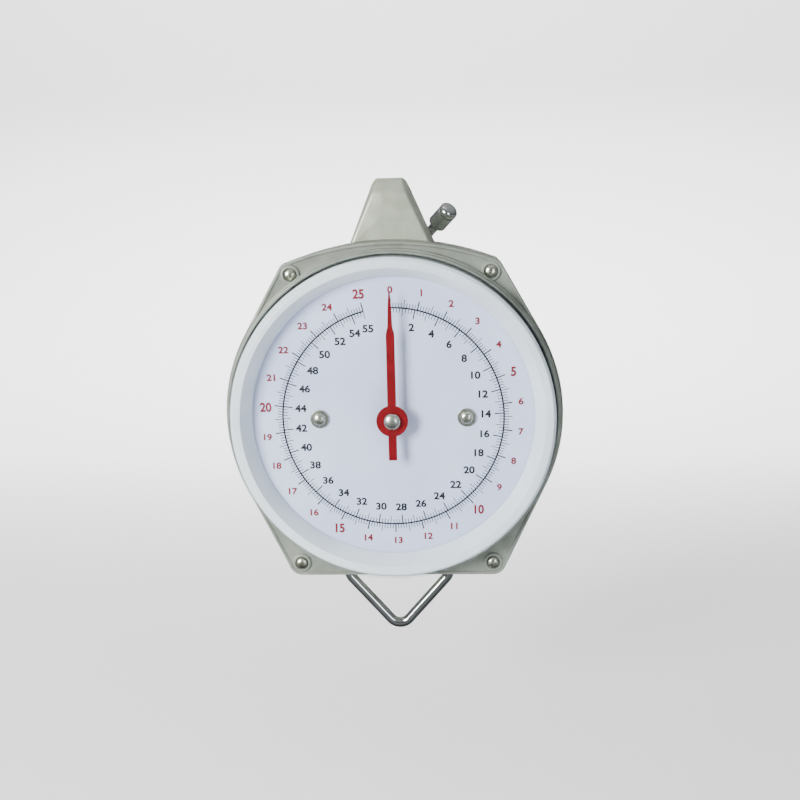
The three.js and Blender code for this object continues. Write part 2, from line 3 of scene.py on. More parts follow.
import bmesh
import bpy
import numpy as np
from mathutils import Matrix, Vector


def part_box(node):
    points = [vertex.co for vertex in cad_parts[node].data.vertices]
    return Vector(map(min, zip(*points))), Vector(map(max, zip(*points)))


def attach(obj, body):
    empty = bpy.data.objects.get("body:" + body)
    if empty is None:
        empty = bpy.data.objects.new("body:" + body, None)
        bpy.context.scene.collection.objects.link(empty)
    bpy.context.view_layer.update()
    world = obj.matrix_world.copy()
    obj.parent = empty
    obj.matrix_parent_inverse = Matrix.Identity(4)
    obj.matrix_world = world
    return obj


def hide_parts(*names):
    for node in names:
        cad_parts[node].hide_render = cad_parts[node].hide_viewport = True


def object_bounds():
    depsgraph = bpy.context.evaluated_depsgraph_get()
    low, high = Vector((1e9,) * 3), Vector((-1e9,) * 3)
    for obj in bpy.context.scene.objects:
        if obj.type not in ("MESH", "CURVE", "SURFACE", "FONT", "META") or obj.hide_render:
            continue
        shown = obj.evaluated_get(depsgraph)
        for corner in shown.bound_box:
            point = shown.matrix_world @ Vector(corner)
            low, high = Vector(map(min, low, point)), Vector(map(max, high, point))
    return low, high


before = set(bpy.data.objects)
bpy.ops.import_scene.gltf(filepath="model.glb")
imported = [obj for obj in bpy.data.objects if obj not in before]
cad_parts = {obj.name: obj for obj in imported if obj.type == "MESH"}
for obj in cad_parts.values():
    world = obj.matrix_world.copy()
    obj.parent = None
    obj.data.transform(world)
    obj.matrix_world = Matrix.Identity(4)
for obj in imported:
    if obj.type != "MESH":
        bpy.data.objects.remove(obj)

CAD_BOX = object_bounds()
MM = 0.001

# ---------------------------------------------------------------- places, from the frame
# Shapes are drawn in the dial's frame, in millimetres.
# The dial's face is y = 0, its centre is x = z = 0, and the front is towards -Y.


def node_box(node):
    low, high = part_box(node)
    return np.array(low) / MM, np.array(high) / MM


DIAL_LOW, DIAL_HIGH = node_box("dial_plate")
ORIGIN = np.array([0.0, DIAL_LOW[1], (DIAL_LOW[2] + DIAL_HIGH[2]) / 2])


def span(node, axis):
    """Where a node begins and ends along an axis, in the dial's frame."""
    low, high = node_box(node)
    return low[axis] - ORIGIN[axis], high[axis] - ORIGIN[axis]


X, Y, Z = 0, 1, 2
PIN = -ORIGIN  # the record's origin is the middle of the top hook's pin
LENS_R = 114.0
FOOT_R = span("lens", X)[1]
LENS_FRONT = span("lens", Y)[0]
CASE_R = 118.8
REAR_SIDE_R = 116.6
FLANGE_Y = 6.0
SKIRT_BACK = span("front_case", Y)[1]
COLLAR_FRONT = span("front_case", Y)[0]
REAR_FRONT = SKIRT_BACK + 0.3
REAR_BACK = span("rear_case", Y)[1]
CASE_TOP = span("front_case", Z)[1]
TOP_ARC_R = 200.4
TOP_CORNER = (69.0, 100.5, 9.0)  # x, z and radius of the rounded corner, which its screw shares
BOTTOM_CORNER = (69.5, -108.8, 9.5)
SCREWS = {
    f"{level}_{side}": (sign * corner[0], corner[1])
    for level, corner in (("top", TOP_CORNER), ("bottom", BOTTOM_CORNER))
    for side, sign in (("left", -1), ("right", 1))
}
LOAD_Y = PIN[1]
DIAL_SCREW_X = 51.5


# ---------------------------------------------------------------- materials


def srgb(red, green, blue):
    """A colour given from 0 to 255, as Blender's linear values."""

    def linear(value):
        share = value / 255
        return share / 12.92 if share <= 0.04045 else ((share + 0.055) / 1.055) ** 2.4

    return (linear(red), linear(green), linear(blue), 1.0)


class Shader:
    """A principled material that is built up node by node."""

    def __init__(self, name):
        self.material = bpy.data.materials.new(name)
        self.material.use_nodes = True
        self.tree = self.material.node_tree
        self.base = self.tree.nodes["Principled BSDF"]
        self.where = self.tree.nodes.new("ShaderNodeTexCoord").outputs["Object"]

    def node(self, kind, **values):
        made = self.tree.nodes.new("ShaderNode" + kind)
        for key, value in values.items():
            if key in made.inputs:
                made.inputs[key].default_value = value
            else:
                setattr(made, key, value)
        return made

    def link(self, source, target):
        self.tree.links.new(source, target)

    def noise(self, scale, detail=4.0, stretch=(1, 1, 1)):
        mapping = self.node("Mapping")
        mapping.inputs["Scale"].default_value = stretch
        self.link(self.where, mapping.inputs["Vector"])
        texture = self.node("TexNoise", Scale=scale, Detail=detail)
        self.link(mapping.outputs["Vector"], texture.inputs["Vector"])
        return texture.outputs["Fac"]

    def colour(self, source, low, high, start=0.35, end=0.65):
        """The base colour, from low to high as the source goes from start to end."""
        ramp = self.node("ValToRGB")
        ramp.color_ramp.elements[0].position = start
        ramp.color_ramp.elements[1].position = end
        ramp.color_ramp.elements[0].color = low
        ramp.color_ramp.elements[1].color = high
        self.link(source, ramp.inputs["Fac"])
        self.link(ramp.outputs["Color"], self.base.inputs["Base Color"])

    def roughness(self, source, low, high):
        scaled = self.node("MapRange")
        scaled.inputs["From Min"].default_value = 0.3
        scaled.inputs["From Max"].default_value = 0.7
        scaled.inputs["To Min"].default_value = low
        scaled.inputs["To Max"].default_value = high
        self.link(source, scaled.inputs["Value"])
        self.link(scaled.outputs["Result"], self.base.inputs["Roughness"])

    def bump(self, source, strength, distance):
        made = self.node("Bump", Strength=strength, Distance=distance)
        self.link(source, made.inputs["Height"])
        previous = self.base.inputs["Normal"].links
        if previous:
            self.link(previous[0].from_socket, made.inputs["Normal"])
        self.link(made.outputs["Normal"], self.base.inputs["Normal"])

    def set(self, **values):
        for key, value in values.items():
            self.base.inputs[key.replace("_", " ")].default_value = value


def cast_paint(name, low, high):
    s = Shader(name)
    s.colour(s.noise(75, 9), low, high, 0.3, 0.7)
    s.set(Metallic=0.3, Coat_Weight=0.12, Coat_Roughness=0.25)
    s.roughness(s.noise(120, 3), 0.36, 0.5)
    s.bump(s.noise(420, 5), 0.35, 0.00025)
    s.bump(s.noise(90, 3), 0.35, 0.0005)
    return s.material


def white_plastic():
    s = Shader("white_plastic")
    s.colour(s.noise(40, 4), srgb(216, 224, 230), srgb(228, 236, 240))
    s.roughness(s.noise(200, 3), 0.32, 0.44)
    s.bump(s.noise(900, 3), 0.12, 0.0001)
    return s.material


def dial_enamel():
    s = Shader("dial_enamel")
    s.colour(s.noise(18, 5), srgb(200, 208, 238), srgb(212, 219, 245))
    s.roughness(s.noise(150, 3), 0.3, 0.42)
    s.bump(s.noise(700, 3), 0.08, 0.0001)
    return s.material


def ink(name, dark, light):
    s = Shader(name)
    s.colour(s.noise(500, 3), dark, light)
    s.roughness(s.noise(300, 2), 0.45, 0.6)
    return s.material


def metal(name, low, high, rough, grain=(1, 1, 1), bump=0.05):
    s = Shader(name)
    s.colour(s.noise(60, 4), low, high)
    s.set(Metallic=1.0)
    s.roughness(s.noise(260, 4, grain), *rough)
    s.bump(s.noise(800, 3, grain), bump, 0.0001)
    return s.material


def red_lacquer():
    s = Shader("red_lacquer")
    s.colour(s.noise(160, 4), srgb(104, 0, 8), srgb(120, 0, 12))
    s.set(Specular_IOR_Level=0.2)
    s.roughness(s.noise(300, 3), 0.4, 0.55)
    s.bump(s.noise(900, 3), 0.1, 0.0001)
    return s.material


def grey_rubber():
    s = Shader("grey_rubber")
    s.colour(s.noise(300, 3), srgb(96, 98, 98), srgb(118, 120, 120))
    s.roughness(s.noise(400, 2), 0.7, 0.85)
    s.bump(s.noise(900, 3), 0.2, 0.0001)
    return s.material


COVER_HEAD_ON_MIRROR, COVER_GRAZING_MIRROR = 0.004, 0.45


def clear_cover():
    """Clear plastic: it mirrors more at a glance, and lets lamps through."""
    s = Shader("clear_cover")
    s.tree.nodes.remove(s.base)
    output = s.tree.nodes["Material Output"]
    see = s.node("BsdfTransparent", Color=(0.975, 0.985, 0.99, 1))
    gloss = s.node("BsdfGlossy", Color=(1, 1, 1, 1), Roughness=0.04)
    facing = s.node("LayerWeight", Blend=0.5).outputs["Facing"]
    grazing = s.node("Math", operation="POWER")
    grazing.inputs[1].default_value = 5.0
    share = s.node("Math", operation="MULTIPLY_ADD")
    share.inputs[1].default_value = COVER_GRAZING_MIRROR
    share.inputs[2].default_value = COVER_HEAD_ON_MIRROR
    s.link(facing, grazing.inputs[0])
    s.link(grazing.outputs["Value"], share.inputs[0])
    mix = s.node("MixShader")
    s.link(share.outputs["Value"], mix.inputs["Fac"])
    s.link(see.outputs["BSDF"], mix.inputs[1])
    s.link(gloss.outputs["BSDF"], mix.inputs[2])
    s.link(mix.outputs["Shader"], output.inputs["Surface"])
    return s.material


M = {
    "cast": cast_paint("cast_paint", srgb(152, 158, 140), srgb(172, 179, 163)),
    # painted shade: a darker copy of the same cast paint, so the front case's face reads darker than the
    # tower's front under the same lamps
    "cast_painted_shade": cast_paint("cast_paint_front_painted_shade", srgb(124, 130, 120), srgb(144, 150, 141)),
    "plastic": white_plastic(),
    "enamel": dial_enamel(),
    "black_ink": ink("black_ink", srgb(8, 8, 14), srgb(20, 20, 28)),
    "red_ink": ink("red_ink", srgb(112, 0, 20), srgb(130, 0, 28)),
    "chrome": metal("chrome", srgb(172, 175, 176), srgb(192, 194, 194), (0.06, 0.14), (1, 1, 6)),
    "zinc": metal("zinc", srgb(186, 188, 172), srgb(204, 206, 192), (0.2, 0.34)),
    "steel": metal("steel", srgb(150, 153, 154), srgb(176, 178, 178), (0.3, 0.45), (1, 1, 12), 0.1),
    "spring": metal("spring_steel", srgb(96, 98, 100), srgb(124, 126, 128), (0.28, 0.4)),
    "brass": metal("brass", srgb(176, 142, 66), srgb(196, 162, 84), (0.25, 0.38), (1, 8, 1), 0.1),
    "red": red_lacquer(),
    "rubber": grey_rubber(),
    "clear": clear_cover(),
}


# ---------------------------------------------------------------- mesh helpers


def make(name, vertices, faces, material, body, crease=32.0):
    """A piece from points in the dial's frame, in mm. Edges sharper than crease degrees stay sharp."""
    mesh = bpy.data.meshes.new(name)
    points = (np.asarray(vertices, float) + ORIGIN) * MM
    mesh.from_pydata(points.tolist(), [], [list(f) for f in faces])
    mesh.materials.append(material)
    tidy = bmesh.new()
    tidy.from_mesh(mesh)
    bmesh.ops.remove_doubles(tidy, verts=tidy.verts, dist=1e-7)
    bmesh.ops.recalc_face_normals(tidy, faces=tidy.faces)
    tidy.to_mesh(mesh)
    tidy.free()
    piece = bpy.data.objects.new(name, mesh)
    bpy.context.scene.collection.objects.link(piece)
    smooth(piece, crease)
    if body:
        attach(piece, body)
    return piece


def smooth(piece, crease=32.0):
    for polygon in piece.data.polygons:
        polygon.use_smooth = True
    piece.data.set_sharp_from_angle(angle=radians(crease))


def stitched(rings, closed):
    """Points and quads through rings of equal length, each ring a loop."""
    count = len(rings[0])
    points = np.concatenate(rings)
    last = len(rings) if closed else len(rings) - 1
    faces = []
    for i in range(last):
        a, b = i * count, ((i + 1) % len(rings)) * count
        for k in range(count):
            n = (k + 1) % count
            faces.append((a + k, a + n, b + n, b + k))
    return points, faces


def fillet(profile, radius, closed=True, steps=4):
    """The same corner points with each corner rounded, where both sides are long enough."""
    points = [np.array(p, float) for p in profile]
    count = len(points)
    out = []
    for i, corner in enumerate(points):
        if not closed and i in (0, count - 1):
            out.append(tuple(corner))
            continue
        before, after = points[i - 1] - corner, points[(i + 1) % count] - corner
        la, lb = np.linalg.norm(before), np.linalg.norm(after)
        before, after = before / la, after / lb
        half = acos(float(np.clip(before @ after, -1, 1))) / 2
        if half < 0.05 or half > pi / 2 - 0.05:
            out.append(tuple(corner))
            continue
        cut = min(radius / tan(half), 0.45 * la, 0.45 * lb)
        size = cut * tan(half)
        middle = corner + (before + after) / np.linalg.norm(before + after) * size / sin(half)
        start, end = corner + before * cut - middle, corner + after * cut - middle
        turn = atan2(start[0] * end[1] - start[1] * end[0], start @ end)
        for k in range(steps + 1):
            angle = turn * k / steps
            c, s = cos(angle), sin(angle)
            swung = (c * start[0] - s * start[1], s * start[0] + c * start[1])
            out.append((middle[0] + swung[0], middle[1] + swung[1]))
    return out


def turned(name, profile, material, body, x=0.0, z=0.0, steps=96, round_by=0.0):
    """A profile of (radius, y) points turned about an axis along Y, closed on itself or on the axis."""
    on_axis = profile[0][0] == 0
    if round_by:
        profile = fillet(profile, round_by, closed=not on_axis)
    angles = np.linspace(0, 2 * pi, steps, endpoint=False)
    rings = [
        np.stack([x + r * np.cos(angles), np.full(steps, y), z + r * np.sin(angles)], axis=1)
        for r, y in profile
    ]
    points, faces = stitched(rings, closed=not on_axis)
    return make(name, points, faces, material, body)


def swept(name, route, radius, material, body, across=(0, 1, 0), sides=28):
    """A round rod along a flat route of points. across is at right angles to the route's plane."""
    route = np.asarray(route, float)
    across = np.array(across, float) / np.linalg.norm(across)
    ahead = np.gradient(route, axis=0)
    ahead /= np.linalg.norm(ahead, axis=1)[:, None]
    side = np.cross(ahead, across)
    angles = np.linspace(0, 2 * pi, sides, endpoint=False)
    rings = [
        p + radius * (np.cos(angles)[:, None] * s + np.sin(angles)[:, None] * across)
        for p, s in zip(route, side)
    ]
    points, faces = stitched(rings, closed=False)
    faces += [tuple(range(sides)), tuple(reversed(range(len(points) - sides, len(points))))]
    return make(name, points, faces, material, body)


def arc(cx, cz, radius, start, end, steps):
    angles = np.linspace(start, end, steps + 1)
    return [(cx + radius * cos(a), cz + radius * sin(a)) for a in angles]


def combine(piece, others, operation):
    """Boolean of piece with others, which are then removed."""
    for other in others:
        modifier = piece.modifiers.new("cut", "BOOLEAN")
        modifier.operation = operation
        modifier.solver = "EXACT"
        modifier.object = other
    apply_modifiers(piece)
    for other in others:
        bpy.data.objects.remove(other)


def apply_modifiers(piece):
    bpy.context.view_layer.update()
    graph = bpy.context.evaluated_depsgraph_get()
    mesh = bpy.data.meshes.new_from_object(piece.evaluated_get(graph))
    piece.modifiers.clear()
    piece.data = mesh


def tool_box(low, high):
    """A plain box used only to cut."""
    xs, ys, zs = zip(low, high)
    corners = [(x, y, z) for x in xs for y in ys for z in zs]
    faces = [(0, 1, 3, 2), (4, 6, 7, 5), (0, 4, 5, 1), (2, 3, 7, 6), (0, 2, 6, 4), (1, 5, 7, 3)]
    return make("tool", corners, faces, M["cast"], None)


def hull(name, corners, bevel, material, steps=4):
    """A convex body through the corners, its edges rounded."""
    made = bmesh.new()
    for corner in corners:
        made.verts.new(corner)
    bmesh.ops.convex_hull(made, input=made.verts)
    bmesh.ops.dissolve_limit(made, angle_limit=radians(1), verts=made.verts, edges=made.edges)
    if bevel:
        bmesh.ops.bevel(
            made, geom=made.edges, offset=bevel, segments=steps, profile=0.5, affect="EDGES"
        )
    made.verts.index_update()
    points = [tuple(v.co) for v in made.verts]
    faces = [tuple(v.index for v in f.verts) for f in made.faces]
    made.free()
    return make(name, points, faces, material, None)


# ---------------------------------------------------------------- the case's outline

RIM_POINTS = 720


def outline_radius(inset, side_r=CASE_R):
    """The outline's distance from the centre at evenly spaced bearings, moved in by inset."""

    def flank(corner):
        x, z, r = corner
        lean = acos((side_r - r) / hypot(x, z))
        return atan2(z, x) - (1 if z > 0 else -1) * lean

    arc_z = CASE_TOP - TOP_ARC_R
    top_end = atan2(TOP_CORNER[1] - arc_z, TOP_CORNER[0])
    tx, tz, tr = TOP_CORNER
    bx, bz, br = BOTTOM_CORNER
    top_flank, bottom_flank = flank(TOP_CORNER), flank(BOTTOM_CORNER)
    half = arc(0, arc_z, TOP_ARC_R - inset, pi / 2, top_end, 40)
    half += arc(tx, tz, tr - inset, top_end, top_flank, 30)[1:]
    ring = arc(0, 0, side_r - inset, top_flank, bottom_flank, 90)
    half += straight(half[-1], ring[0]) + ring
    corner = arc(bx, bz, br - inset, bottom_flank, -pi / 2, 30)
    half += straight(ring[-1], corner[0]) + corner
    half += straight(corner[-1], (0.0, corner[-1][1])) + [(0.0, corner[-1][1])]
    whole = half + [(-x, z) for x, z in half]
    bearing = np.array([atan2(z, x) for x, z in whole])
    radius = np.array([hypot(x, z) for x, z in whole])
    order = np.argsort(bearing)
    at = np.linspace(-pi, pi, RIM_POINTS, endpoint=False)
    return np.interp(at, bearing[order], radius[order], period=2 * pi)


def straight(start, end, steps=40):
    return [
        (start[0] + (end[0] - start[0]) * k / steps, start[1] + (end[1] - start[1]) * k / steps)
        for k in range(1, steps)
    ]


def rim_ring(radius, y):
    at = np.linspace(-pi, pi, RIM_POINTS, endpoint=False)
    radius = np.broadcast_to(radius, at.shape)
    return np.stack([radius * np.cos(at), np.full(at.shape, float(y)), radius * np.sin(at)], axis=1)


def outline_tool(radius, front, back):
    """A plain solid of the outline's form, used only to cut."""
    points, faces = stitched([rim_ring(radius, front), rim_ring(radius, back)], closed=False)
    faces += [tuple(range(RIM_POINTS)), tuple(reversed(range(RIM_POINTS, 2 * RIM_POINTS)))]
    return make("tool", points, faces, M["cast"], None)


# ---------------------------------------------------------------- castings


def front_case():
    out = outline_radius
    bore, seat = LENS_R + 0.4, FOOT_R + 0.35
    skirt = np.maximum(out(2.6), seat + 0.05)
    flat_edge = 117.6
    rings = [
        rim_ring(out(0.25), SKIRT_BACK),
        rim_ring(out(0), SKIRT_BACK - 0.3),
        rim_ring(out(0), FLANGE_Y + 0.6),
        rim_ring(out(0.2), FLANGE_Y - 0.1),
        rim_ring(out(0.7), FLANGE_Y - 0.6),
        rim_ring(np.maximum(out(1.4), flat_edge + 0.5), FLANGE_Y - 0.75),
        rim_ring(np.maximum(out(2.1), flat_edge + 0.4), FLANGE_Y - 0.55),
        rim_ring(np.maximum(out(2.6), flat_edge + 0.3), FLANGE_Y + 0.2),
        rim_ring(np.maximum(out(3.2), flat_edge + 0.2), FLANGE_Y + 0.35),
        rim_ring(flat_edge, FLANGE_Y + 0.35),
    ]
    collar = [
        (117.5, 1.9),
        (117.3, 1.4),
        (116.9, 1.2),
        (116.5, 1.25),
        (116.2, 1.0),
        (116.1, 0.5),
        (116.1, -3.2),
        (115.9, COLLAR_FRONT + 0.2),
        (115.5, COLLAR_FRONT),
        (115.0, COLLAR_FRONT + 0.1),
        (bore, COLLAR_FRONT + 0.7),
        (bore, 2.0),
        (seat, 2.0),
        (seat, 9.0),
    ]
    rings += [rim_ring(r, y) for r, y in collar]
    rings += [rim_ring(skirt, 9.0), rim_ring(skirt, SKIRT_BACK)]
    points, faces = stitched(rings, closed=True)
    # the front case takes the darker copy of the cast paint, which is painted shade
    piece = make("front_case_shell", points, faces, M["cast_painted_shade"], None)
    bosses, holes = [], []
    for x, z in SCREWS.values():
        ring = [(0, 4.9), (6.3, 4.9), (7.2, 6.0), (7.2, 12.0), (0, 12.0)]
        bosses.append(turned("tool", ring, M["cast_painted_shade"], None, x, z, 48, 0.5))
        well = [(0, 3), (4.9, 3), (4.9, 6.0), (2.3, 6.0), (2.3, 20), (0, 20)]
        holes.append(turned("tool", well, M["cast_painted_shade"], None, x, z, 48))
    combine(piece, bosses, "UNION")
    combine(piece, holes, "DIFFERENCE")
    smooth(piece)
    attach(piece, "case")
    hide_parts("front_case")
    return piece


TOWER_FRONT, CREASE_Z, CREASE_HALF = 14.0, 155.0, 11.6
TOWER_TOP_HALF, FLARE = 9.0, 0.452
TOWER_BASE_BACK, TOWER_CREASE_BACK, TOWER_TOP_BACK = 47.0, 38.0, 31.0
TOWER_ROOF_LEAN = 8.5  # how far the roof's ridge lies behind the tower's front
TOWER_DRAFT = 2.0  # how much wider each side is at the back
TOWER_TOP = span("rear_case", Z)[1]
TOWER_WALL, HOLLOW_REACH = 3.0, 20.0
ROOF_SLOT_HALF, ROOF_SLOT_FRONT, ROOF_SLOT_FLOOR = 6.3, 24.5, 158.0
PIN_HOLE_R = 3.3
LEG_X = 37.4
LEG_SLOT_HALF_X, LEG_SLOT_HALF_Y = 4.8, 9.2
REAR_ROUNDING, REAR_FLANGE, REAR_WALL = 6.0, 3.2, 3.0
PANEL_DEPTH = 1.2


def tower_corners(wall, reach, base):
    """Corners of the tower's form, or of its hollow when wall is over zero."""
    half = CREASE_HALF + (CREASE_Z - base) * FLARE
    top_back = 60.0 if wall else TOWER_TOP_BACK
    levels = [
        (base, half, TOWER_FRONT, TOWER_BASE_BACK + reach),
        (CREASE_Z - 0.4 * wall, CREASE_HALF, TOWER_FRONT, TOWER_CREASE_BACK + reach),
        (TOWER_TOP - wall, TOWER_TOP_HALF, TOWER_FRONT + TOWER_ROOF_LEAN + 0.2 * wall, top_back),
    ]
    return [
        (side * (half + extra - wall), y, z)
        for z, half, front, rear in levels
        for side in (-1, 1)
        for y, extra in ((front + wall, 0), (rear, TOWER_DRAFT))
    ]


def onto_pin(piece):
    """Lays a piece turned about the dial's axis along the top hook's pin, at the record's origin."""
    piece.data.transform(Matrix.Rotation(-pi / 2, 4, "Z") @ Matrix.Translation(Vector(-ORIGIN * MM)))


def rear_case():
    out = outline_radius
    rounding = REAR_ROUNDING
    flange_back = REAR_FRONT + REAR_FLANGE

    def body(inset):
        return out(inset, REAR_SIDE_R)

    wall = [
        rim_ring(out(1.5), REAR_FRONT),
        rim_ring(out(1.1), REAR_FRONT + 0.2),
        rim_ring(out(1), REAR_FRONT + 0.5),
        rim_ring(out(1), flange_back - 0.5),
        rim_ring(np.maximum(body(1), out(1.2)), flange_back),
        rim_ring(np.maximum(body(1), out(2.2)), flange_back + 0.1),
        rim_ring(body(1), flange_back + 1.5),
    ]
    for k in range(9):
        turn = pi / 2 * k / 8
        inset = 1 + rounding * (1 - cos(turn))
        wall.append(rim_ring(body(inset), REAR_BACK - rounding + rounding * sin(turn)))
    panel = [(14, 0), (14.4, 0.2), (15.0, 1.0), (15.5, PANEL_DEPTH)]
    back = [rim_ring(body(inset), REAR_BACK - depth) for inset, depth in panel]
    back.append(rim_ring(body(15.5) * 0.5, REAR_BACK - PANEL_DEPTH))
    back.append(rim_ring(body(15.5) * 0.001, REAR_BACK - PANEL_DEPTH))
    inside = [
        rim_ring(body(4) * 0.001, REAR_BACK - REAR_WALL),
        rim_ring(body(4), REAR_BACK - REAR_WALL),
        rim_ring(body(4), REAR_FRONT + 3),
        rim_ring(body(6), REAR_FRONT + 3),
        rim_ring(body(6), REAR_FRONT),
    ]
    points, faces = stitched(wall + back + inside, closed=True)
    piece = make("rear_case_shell", points, faces, M["cast"], None)
    tower = hull("tool", tower_corners(0, 0, 112), 1.9, M["cast"], 6)
    combine(tower, [outline_tool(out(-0.9), 0, REAR_FRONT)], "DIFFERENCE")
    combine(tower, [outline_tool(body(4), REAR_FRONT - 9, REAR_BACK - REAR_WALL)], "DIFFERENCE")
    combine(piece, [tower], "UNION")
    hollow = hull("tool", tower_corners(TOWER_WALL, HOLLOW_REACH, 121.5), 0.8, M["cast"])
    slot = tool_box((-ROOF_SLOT_HALF, ROOF_SLOT_FRONT, ROOF_SLOT_FLOOR), (ROOF_SLOT_HALF, 70, 180))
    hole = [(0, -40), (PIN_HOLE_R, -40), (PIN_HOLE_R, 40), (0, 40)]
    pin_hole = turned("tool", hole, M["cast"], None, 0, 0, 48)
    onto_pin(pin_hole)
    tools = [hollow, slot, pin_hole]
    for side in (-1, 1):
        corners = [
            (side * LEG_X + across, LOAD_Y + along, z)
            for across in (-LEG_SLOT_HALF_X, LEG_SLOT_HALF_X)
            for along in (-LEG_SLOT_HALF_Y, LEG_SLOT_HALF_Y)
            for z in (-130, -108)
        ]
        tools.append(hull("tool", corners, 2.0, M["cast"], 5))
    combine(piece, tools, "DIFFERENCE")
    smooth(piece)
    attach(piece, "case")
    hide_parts("rear_case")
    return piece


# ---------------------------------------------------------------- cover, surround and dial


def cover():
    edge, wall = 7.0, 0.9
    outside = arc(LENS_R - edge, LENS_FRONT + edge, edge, -pi / 2, 0, 12)
    inside = arc(LENS_R - edge, LENS_FRONT + edge, edge - wall, 0, -pi / 2, 12)
    profile = [(0.0, LENS_FRONT), (60.0, LENS_FRONT)] + outside
    profile += [(LENS_R, 2.4), (FOOT_R, 2.4), (FOOT_R, 4.2), (LENS_R - wall, 4.2)]
    profile += inside + [(60.0, LENS_FRONT + wall), (0.0, LENS_FRONT + wall)]
    piece = turned("cover", profile, M["clear"], "case", steps=192)
    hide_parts("lens")


def surround():
    profile = [
        (98.6, -0.4),
        (105.6, -13.6),
        (110.8, -13.6),
        (112.7, -11.5),
        (112.7, 5.8),
        (FOOT_R, 5.8),
        (FOOT_R, 15.9),
        (113.4, 15.9),
        (113.4, 7.6),
        (110, 7.6),
        (110, -11.8),
        (107, -11.8),
        (101, -0.4),
    ]
    piece = turned("surround", profile, M["plastic"], "case", steps=192, round_by=0.5)
    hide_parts("dial_surround")


def gasket():
    profile = [(112.4, 4.5), (FOOT_R, 4.5), (FOOT_R, 5.5), (112.4, 5.5)]
    piece = turned("cover_gasket", profile, M["rubber"], "case", steps=192, round_by=0.3)
    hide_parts("lens_gasket")


def dial_disc():
    profile = [(4.0, 0.0), (100.5, 0.0), (100.5, 1.0), (4.0, 1.0)]
    piece = turned("dial_disc", profile, M["enamel"], "case", steps=192, round_by=0.12)
    hole = [(0, -2), (2.2, -2), (2.2, 3), (0, 3)]
    holes = [turned("tool", hole, M["enamel"], None, side * DIAL_SCREW_X, 0, 32) for side in (-1, 1)]
    combine(piece, holes, "DIFFERENCE")
    smooth(piece)
    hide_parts("dial_plate")


GRADUATION_R = 77.5
FULL_TURN = radians(346)
KG, LB = FULL_TURN / 25, FULL_TURN / 55
CIRCLE_RADII = (76.9, 77.95)
INK, INK_BACK = 0.05, 0.01  # how far the print's front and back stand before the dial


def mark(bearing, near, far, width):
    """A raised bar from one radius to another, at a bearing clockwise from the top."""
    out = np.array([sin(bearing), 0, cos(bearing)])
    side = np.array([cos(bearing), 0, -sin(bearing)]) * width / 2
    top = [out * r + side * s + np.array([0, -INK, 0]) for r in (near, far) for s in (-1, 1)]
    low = [p + np.array([0, INK - INK_BACK, 0]) for p in top]
    faces = [(0, 1, 3, 2), (4, 6, 7, 5), (0, 2, 6, 4), (1, 5, 7, 3), (0, 4, 5, 1), (2, 3, 7, 6)]
    return top + low, faces


def graduations():
    points, faces = [], []

    def add(bearing, near, far, width):
        corners, sides = mark(bearing, near, far, width)
        faces.extend(tuple(len(points) + k for k in side) for side in sides)
        points.extend(corners)

    for tenth in range(251):
        whole, half = tenth % 10 == 0, tenth % 5 == 0
        length = 6.2 if whole else 5.8 if half else 3.5
        add(tenth * KG / 10, GRADUATION_R, GRADUATION_R + length, 0.85 if whole else 0.5)
    for quarter in range(221):
        whole, even = quarter % 4 == 0, quarter % 8 == 0
        length = 6.6 if even else 5.6 if whole else 3.4
        add(quarter * LB / 4, GRADUATION_R, GRADUATION_R - length, 0.8 if even else 0.48)
    make("graduations", points, faces, M["black_ink"], "case")
    count = 361
    bearings = np.linspace(0, FULL_TURN, count)
    inner, outer = CIRCLE_RADII
    rings = [
        np.stack([radius * np.sin(bearings), np.full(count, y), radius * np.cos(bearings)], axis=1)
        for radius, y in [(inner, -INK_BACK), (inner, -INK), (outer, -INK), (outer, -INK_BACK)]
    ]
    loop = np.concatenate(rings)
    faces = [
        (a * count + k, a * count + k + 1, b * count + k + 1, b * count + k)
        for a, b in ((0, 1), (1, 2), (2, 3), (3, 0))
        for k in range(count - 1)
    ]
    faces += [(0, count, 2 * count, 3 * count), tuple(count * k + count - 1 for k in (3, 2, 1, 0))]
    make("graduation_circle", loop, faces, M["black_ink"], "case")


STROKE_GROWTH = 0.036  # makes the built-in face a little bolder, in letter heights


def numerals(name, labels, material):
    """One mesh of upright numbers. Each label is text, bearing, radius, height and width stretch."""
    points, faces = [], []
    for text, bearing, radius, height, stretch in labels:
        curve = bpy.data.curves.new("tool", "FONT")
        curve.body = text
        curve.size = 1.0
        curve.extrude = 0.5
        curve.offset = STROKE_GROWTH
        curve.resolution_u = 6
        letter = bpy.data.objects.new("tool", curve)
        bpy.context.scene.collection.objects.link(letter)
        bpy.context.view_layer.update()
        graph = bpy.context.evaluated_depsgraph_get()
        mesh = bpy.data.meshes.new_from_object(letter.evaluated_get(graph))
        shape = np.array([v.co[:] for v in mesh.vertices])
        low, high = shape.min(axis=0), shape.max(axis=0)
        size = height / (high[1] - low[1])
        shape[:, :2] = (shape[:, :2] - (low[:2] + high[:2]) / 2) * (size * stretch, size)
        placed = np.stack(
            [
                shape[:, 0] + radius * sin(bearing),
                np.where(shape[:, 2] > 0, -INK, -INK_BACK),
                shape[:, 1] + radius * cos(bearing),
            ],
            axis=1,
        )
        faces += [tuple(len(points) + k for k in polygon.vertices) for polygon in mesh.polygons]
        points += placed.tolist()
        bpy.data.objects.remove(letter)
        bpy.data.curves.remove(curve)
        bpy.data.meshes.remove(mesh)
    make(name, points, faces, material, "case")


